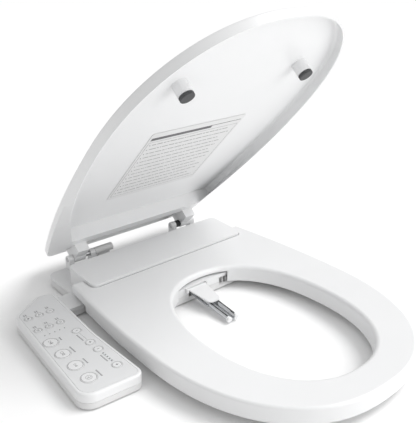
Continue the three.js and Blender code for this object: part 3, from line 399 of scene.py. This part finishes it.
# An oval a little wider than the opening, which takes in its edge and leaves the outer one out.
OPENING_MIDDLE = Vector((0, -0.28))
OVAL_HALF_WIDTH = 0.122
OVAL_HALF_LENGTH = 0.166
TOP_WITHIN = 0.0002
ROLL_RADIUS = 0.0065


# Rolls the top edge of the opening over, where legs rest on the ring.
def roll_opening(piece):
    def inner_top(a, b):
        level = min(a.z, b.z) > seat_top - TOP_WITHIN
        middle = Vector(((a.x + b.x) / 2, (a.y + b.y) / 2))
        reach = middle - OPENING_MIDDLE
        across, along = reach.x / OVAL_HALF_WIDTH, reach.y / OVAL_HALF_LENGTH
        return level and across ** 2 + along ** 2 < 1

    select_edges(piece, inner_top)
    bpy.ops.mesh.bevel(offset=ROLL_RADIUS, segments=5, profile=0.5, affect="EDGES")
    bpy.ops.object.mode_set(mode="OBJECT")


# ---- shells and the pieces inside them ----
# Each takes a rounding in metres, its steps and the least angle of an edge that is rounded.
finished("seat_ring_top", 0.0006, shape=roll_opening)
finished("seat_ring_base", 0.0004, 1)
finished("lid_shell", 0.0009, 3, 30)
finished("rear_cover", 0.0007, 3)
finished("base_chassis", 0.0005, 2)
finished("arm_lower_shell", 0.0008, 2)
finished("arm_upper_shell", 0.0005, 2)
finished("panel_overlay", 0.0002, 1)
finished("nozzle_flap", 0.0005, 3)
for name in ("lid_pad_left", "lid_pad_right"):
    finished(name, 0.0008, 3)
for end in ("front", "rear"):
    for side in ("left", "right"):
        finished(f"seat_bumper_{end}_{side}", 0.0006, 2)
for name in ("rear_wash_tube", "front_wash_tube"):
    finished(name, 0.0003, 2, 40)
for name in (
    "heater_tank", "dryer_duct", "dryer_fan", "deodoriser_cartridge", "lid_damper",
    "release_button", "mounting_plate", "inlet_fitting", "cord_gland", "lid_hinge_bush",
):
    finished(name, 0.0003, 2)


# ---- printed marks ----
# Marks lie in a plane: x and y place them on it and z stands off it by the thickness of the ink.
INK_THICKNESS = 0.00012


def bar(x, y, width, height):
    bpy.ops.mesh.primitive_cube_add(size=1, location=(x, y, INK_THICKNESS / 2))
    made = bpy.context.object
    made.scale = (width, height, INK_THICKNESS)
    return made


def ring(x, y, radius, line):
    bpy.ops.mesh.primitive_torus_add(
        location=(x, y, INK_THICKNESS / 2),
        major_radius=radius,
        minor_radius=line / 2,
        major_segments=36,
        minor_segments=6,
    )
    made = bpy.context.object
    made.scale = (1, 1, INK_THICKNESS / line)
    return made


def dot(x, y, radius):
    bpy.ops.mesh.primitive_cylinder_add(
        vertices=14, radius=radius, depth=INK_THICKNESS, location=(x, y, INK_THICKNESS / 2),
    )
    return bpy.context.object


def bar_mm(x, y, width, height):
    return bar(x * MM, y * MM, width * MM, height * MM)


def print_marks(name, marks, material, body, plane):
    bpy.ops.object.select_all(action="DESELECT")
    for mark in marks:
        mark.select_set(True)
    bpy.context.view_layer.objects.active = marks[0]
    if len(marks) > 1:
        bpy.ops.object.join()
    piece = bpy.context.object
    piece.name = name
    bpy.ops.object.transform_apply(location=True, rotation=True, scale=True)
    piece.matrix_world = plane
    bpy.ops.object.transform_apply(location=True, rotation=True, scale=True)
    piece.data.materials.clear()
    piece.data.materials.append(material)
    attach(piece, body)
    return piece


# The sign on a key: strokes as (x, y, width, height) and rings as (x, y, radius), in millimetres.
SIGNS = {
    "key_stop": ([(0, 0, 2.6, 2.6)], []),
    "key_massage": ([(-1.4, 0, 0.4, 3), (0, 0, 0.4, 4), (1.4, 0, 0.4, 3)], []),
    "key_move": ([(0, 0, 4, 0.4), (-1.6, 0, 0.4, 1.6), (1.6, 0, 0.4, 1.6)], []),
    "key_dry": ([(0, -1.6, 3.6, 0.4), (0, 0, 3.6, 0.4), (0, 1.6, 3.6, 0.4)], []),
    "key_power": ([(0, 1.3, 0.5, 2.2)], [(0, 0, 1.9)]),
    "key_light": ([(0, -2, 1.6, 0.4)], [(0, 0.4, 1.5)]),
    "key_rear_wash": (
        [(0, -2.8, 5, 0.6), (0, -0.6, 0.6, 3), (-1.5, -1, 0.5, 2), (1.5, -1, 0.5, 2)],
        [(0, 3, 1.6)],
    ),
    "key_front_wash": (
        [(0, -3.2, 4.4, 0.6), (-1.2, -1, 0.5, 3), (1.2, -1, 0.5, 3)],
        [(0, 2.6, 2)],
    ),
    "key_kids_wash": ([(0, -2.6, 3.4, 0.6), (0, -1, 0.5, 2.2)], [(0, 1.6, 1.4)]),
    "key_auto_wash": ([(0, 0, 0.6, 3.4), (-2, -0.5, 0.5, 2), (2, -0.5, 0.5, 2)], [(0, 0, 4)]),
    "key_water_minus": ([(0, 0, 3.6, 0.6)], []),
    "key_water_plus": ([(0, 0, 3.6, 0.6), (0, 0, 0.6, 3.6)], []),
    "key_seat_minus": ([(0, 0, 3.6, 0.6)], []),
    "key_seat_plus": ([(0, 0, 3.6, 0.6), (0, 0, 0.6, 3.6)], []),
}
RING_INSET = 1.1 * MM
RING_LINE = 0.45 * MM
SIGN_LINE = 0.4 * MM

for key, (strokes, rings) in SIGNS.items():
    low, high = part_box(key)
    centre = (low + high) / 2
    radius = (high.x - low.x) / 2
    finished(key, 0.0002, 1, 40)
    marks = [ring(0, 0, radius - RING_INSET, RING_LINE)]
    marks += [bar_mm(*stroke) for stroke in strokes]
    marks += [ring(x * MM, y * MM, size * MM, SIGN_LINE) for x, y, size in rings]
    plane = Matrix.Translation((centre.x, centre.y, high.z))
    print_marks(key + "_sign", marks, INK, body_of_node(key), plane)

# Short bars in place of words beside each key, and small level lights.
WORD_LENGTHS = {"key_rear_wash": 9, "key_front_wash": 17, "key_kids_wash": 14, "key_auto_wash": 16}
BAR_PITCH = 2.6
LARGE_KEY_WORDS = 14.6 * MM
LARGE_KEY_BAR = (1.7 * MM, 1.9 * MM)
SMALL_KEY_LINES = (-1.5, 1.3)
SMALL_KEY_WORDS = 3.4
SMALL_KEY_BAR = (1.3 * MM, 2 * MM)
SMALL_KEYS_FROM = -0.095
SCALE_WORDS = 5.2 * MM
SCALE_BAR = (1.6 * MM, 1.8 * MM)
SCALE_PITCH = 2.5
WATER_LIGHT = 0.4 * MM
HEAT_LIGHT = 1.1 * MM
MODE_LIGHT = 0.8 * MM
MODE_LIGHTS_PLACE = (-0.256, -0.104)
MODE_LIGHTS_PITCH = 0.0075

panel_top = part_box("panel_overlay")[1].z
panel_plane = Matrix.Translation((0, 0, panel_top))
word_bars = []
for key in SIGNS:
    low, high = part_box(key)
    middle_x, middle_y = (low.x + high.x) / 2, (low.y + high.y) / 2
    if key in WORD_LENGTHS:
        first = WORD_LENGTHS[key] / 2 - BAR_PITCH / 2
        for part in range(int(WORD_LENGTHS[key] / BAR_PITCH)):
            along = middle_y + (first - part * BAR_PITCH) * MM
            word_bars.append(bar(middle_x + LARGE_KEY_WORDS, along, *LARGE_KEY_BAR))
    elif high.y > SMALL_KEYS_FROM:
        for line in SMALL_KEY_LINES:
            for part in range(2):
                along = high.y + (SMALL_KEY_WORDS + BAR_PITCH * part) * MM
                word_bars.append(bar(middle_x + line * MM, along, *SMALL_KEY_BAR))

minus_low, minus_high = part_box("key_water_minus")
water_start, water_end = minus_low.y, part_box("key_water_plus")[1].y
heat_start, heat_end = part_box("key_seat_minus")[0].y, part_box("key_seat_plus")[1].y
column = (minus_low.x + minus_high.x) / 2
for start, end in ((water_start, water_end), (heat_start, heat_end)):
    middle = (start + end) / 2
    for part in range(7):
        along = middle + (part - 3) * SCALE_PITCH * MM
        word_bars.append(bar(column - SCALE_WORDS, along, *SCALE_BAR))
print_marks("panel_words", word_bars, PALE_INK, "housing", panel_plane)

levels = []
for start, end, count, radius in (
    (water_start, water_end, 9, WATER_LIGHT),
    (heat_start, heat_end, 5, HEAT_LIGHT),
):
    for part in range(count):
        levels.append(dot(column, start + (end - start) * (part + 1) / (count + 1), radius))
mode_x, mode_y = MODE_LIGHTS_PLACE
for part in range(5):
    levels.append(dot(mode_x + MODE_LIGHTS_PITCH * part, mode_y, MODE_LIGHT))
print_marks("panel_levels", levels, INK, "housing", panel_plane)


# The plane of a node's widest face among those that look toward a direction.
def face_plane(node_name, toward):
    mesh = nodes[node_name].data
    facing = [face for face in mesh.polygons if face.normal.dot(toward) > 0.6]
    widest = max(facing, key=lambda face: face.area)
    corners = [
        mesh.vertices[index].co
        for face in facing if face.normal.dot(widest.normal) > 0.999
        for index in face.vertices
    ]
    low = Vector([min(corner[axis] for corner in corners) for axis in range(3)])
    high = Vector([max(corner[axis] for corner in corners) for axis in range(3)])
    out = widest.normal.normalized()
    up = out.cross(Vector((1, 0, 0))).normalized()
    if up.z < 0:
        up = -up
    across = up.cross(out)
    return Matrix.Translation((low + high) / 2) @ Matrix((across, up, out)).transposed().to_4x4()


label_plane = face_plane("lid_label", Vector((0, -0.74, -0.67)))

# The label's marks, in millimetres from its middle: heading, thin frame and rows of word bars.
HEADING_BARS = ((-28, 78, 108, 6.5), (54, 80.6, 56, 1.3))
FRAME_LINES = ((0, 70, 164, 0.5), (0, -84, 164, 0.5), (-82, -7, 0.5, 154), (82, -7, 0.5, 154))
ROW_COUNT = 13
FIRST_ROW = 62
ROW_PITCH = 11.4
ROW_START = -73.0
ROW_END = 76
SHORT_ROW_CUT = 14
WORDS_PER_ROW = 22
WORD_GAP = 1.8
WORD_HEIGHT = 1.5
BULLET_LINE = -77
BULLET_RADIUS = 1


# Word lengths wander with two waves, so that no two rows look alike.
def label_marks():
    dark = [bar_mm(*place) for place in HEADING_BARS]
    pale = [bar_mm(*place) for place in FRAME_LINES]
    for row in range(ROW_COUNT):
        y = FIRST_ROW - row * ROW_PITCH
        dark.append(dot(BULLET_LINE * MM, y * MM, BULLET_RADIUS * MM))
        start = ROW_START
        limit = ROW_END - SHORT_ROW_CUT * (row % 3 == 2)
        for word in range(WORDS_PER_ROW):
            length = 7 + 4.5 * math.sin(row * 2.3 + word * 1.7) + 2 * math.sin(word * 5.1 + row)
            if start + length > limit:
                break
            pale.append(bar_mm(start + length / 2, y, length, WORD_HEIGHT))
            start += length + WORD_GAP
    return dark, pale


dark_marks, pale_marks = label_marks()
print_marks("label_heading", dark_marks, INK, "lid", label_plane)
print_marks("label_rows", pale_marks, PALE_INK, "lid", label_plane)


# ---- black strip along the front edge of the deck: painted shadow in the gap that the seat leaves ----
DECK_LENGTH = 0.119
GAP_SHADOW_LENGTH = 0.28
GAP_SHADOW_WIDTH = 0.0013
GAP_SHADOW_HEIGHT = 0.0016
GAP_SHADOW_SUNK = 0.0013


def deck_gap_shadow():
    deck_front = deck_rear - DECK_LENGTH
    bpy.ops.object.select_all(action="DESELECT")
    # A thin black strip sunk into the gap is painted shadow, standing in for the shade between
    # seat and deck.
    bpy.ops.mesh.primitive_cube_add(
        size=1, location=(0, deck_front - GAP_SHADOW_WIDTH / 2, seat_top - GAP_SHADOW_SUNK),
    )
    gap_shadow_strip = bpy.context.object
    gap_shadow_strip.name = "deck_gap_painted_shadow"
    gap_shadow_strip.scale = (GAP_SHADOW_LENGTH, GAP_SHADOW_WIDTH, GAP_SHADOW_HEIGHT)
    bpy.ops.object.transform_apply(location=True, rotation=True, scale=True)
    round_edges(gap_shadow_strip, 0.0003, 2, 40)
    gap_shadow_strip.data.materials.append(FINISHES["black_rubber"])
    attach(gap_shadow_strip, "housing")


deck_gap_shadow()


# ---- wash tubes: end caps and a dark strip along each, a painted reflection on the chrome ----
SLOPE = Vector(joints["rear_wash_slide"]["axis"]).normalized()
TUBE_RADIUS = 0.0042
CAP_WALL = 0.00015
CAP_LENGTH = 0.0052
CAP_MIDDLE = 0.0021
REFLECTION_STRIP_MIDDLE = 0.034
REFLECTION_STRIP_WIDTH = 0.0019
REFLECTION_STRIP_LENGTH = 0.056
REFLECTION_STRIP_SUNK = 0.00005


def tube_details(node_name):
    low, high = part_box(node_name)
    tilt = math.asin(SLOPE.z)
    tip = Vector((
        (low.x + high.x) / 2,
        low.y + TUBE_RADIUS * math.sin(tilt),
        low.z + TUBE_RADIUS * math.cos(tilt),
    ))
    body = body_of_node(node_name)
    bpy.ops.object.select_all(action="DESELECT")
    bpy.ops.mesh.primitive_cylinder_add(
        vertices=32,
        radius=TUBE_RADIUS + CAP_WALL,
        depth=CAP_LENGTH,
        location=tip + SLOPE * CAP_MIDDLE,
        rotation=(tilt - math.pi / 2, 0, 0),
    )
    cap = bpy.context.object
    cap.name = node_name + "_cap"
    bpy.ops.object.transform_apply(location=True, rotation=True, scale=True)
    round_edges(cap, 0.0009, 3, 40)
    cap.data.materials.append(FINISHES["white_gloss"])
    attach(cap, body)
    # The dark strip on top of each tube is a painted reflection, standing in for a dark studio
    # mirrored in the chrome.
    up = Vector((0, -SLOPE.z, SLOPE.y))
    turn = Matrix((Vector((1, 0, 0)), SLOPE, up)).transposed().to_4x4()
    top = Matrix.Translation(tip + up * (TUBE_RADIUS - REFLECTION_STRIP_SUNK)) @ turn
    marks = [bar(0, REFLECTION_STRIP_MIDDLE, REFLECTION_STRIP_WIDTH, REFLECTION_STRIP_LENGTH)]
    print_marks(node_name + "_channel", marks, FINISHES["dark_plastic"], body, top)


tube_details("rear_wash_tube")
tube_details("front_wash_tube")


# ---- studio ----
FLOOR_SIZE = 12
FLOOR_BELOW = 0.0002
ROOM_LIGHT = 0.66
KEY_PLACE = (1.5, -0.7, 2.2)
KEY_SPREAD = 32
KEY_ENERGY = 1.7
FILL_PLACE = (0.7, -2.1, 0.7)
FILL_TARGET = (0, 0, 0.3)
FILL_SIZE = 1.4
FILL_ENERGY = 17


def pale_floor():
    bpy.ops.mesh.primitive_plane_add(
        size=FLOOR_SIZE, location=(0, 0, cad_box[0][2] - FLOOR_BELOW),
    )
    floor = bpy.context.object
    floor.name = "floor"
    floor.data.materials.append(plastic(
        "floor_paper", (0.93, 0.93, 0.93), (0.92, 0.92, 0.92), 0.9, grain=0.0, dust=0.0,
    ))


def add_light(kind, name, place, target, energy):
    bpy.ops.object.light_add(type=kind, location=place)
    light = bpy.context.object
    light.name = name
    light.data.energy = energy
    light.rotation_mode = "QUATERNION"
    light.rotation_quaternion = (Vector(target) - Vector(place)).to_track_quat("-Z", "Y")
    return light


def light_studio():
    world = bpy.data.worlds.new("white_room")
    bpy.context.scene.world = world
    world.use_nodes = True
    sky = world.node_tree.nodes["Background"]
    sky.inputs["Color"].default_value = (1, 1, 1, 1)
    sky.inputs["Strength"].default_value = ROOM_LIGHT
    sun = add_light("SUN", "wide_key", KEY_PLACE, (0, 0, 0), KEY_ENERGY)
    sun.data.angle = math.radians(KEY_SPREAD)
    fill = add_light("AREA", "front_fill", FILL_PLACE, FILL_TARGET, FILL_ENERGY)
    fill.data.size = FILL_SIZE
    bpy.context.scene.view_settings.view_transform = "Standard"


pale_floor()
light_studio()
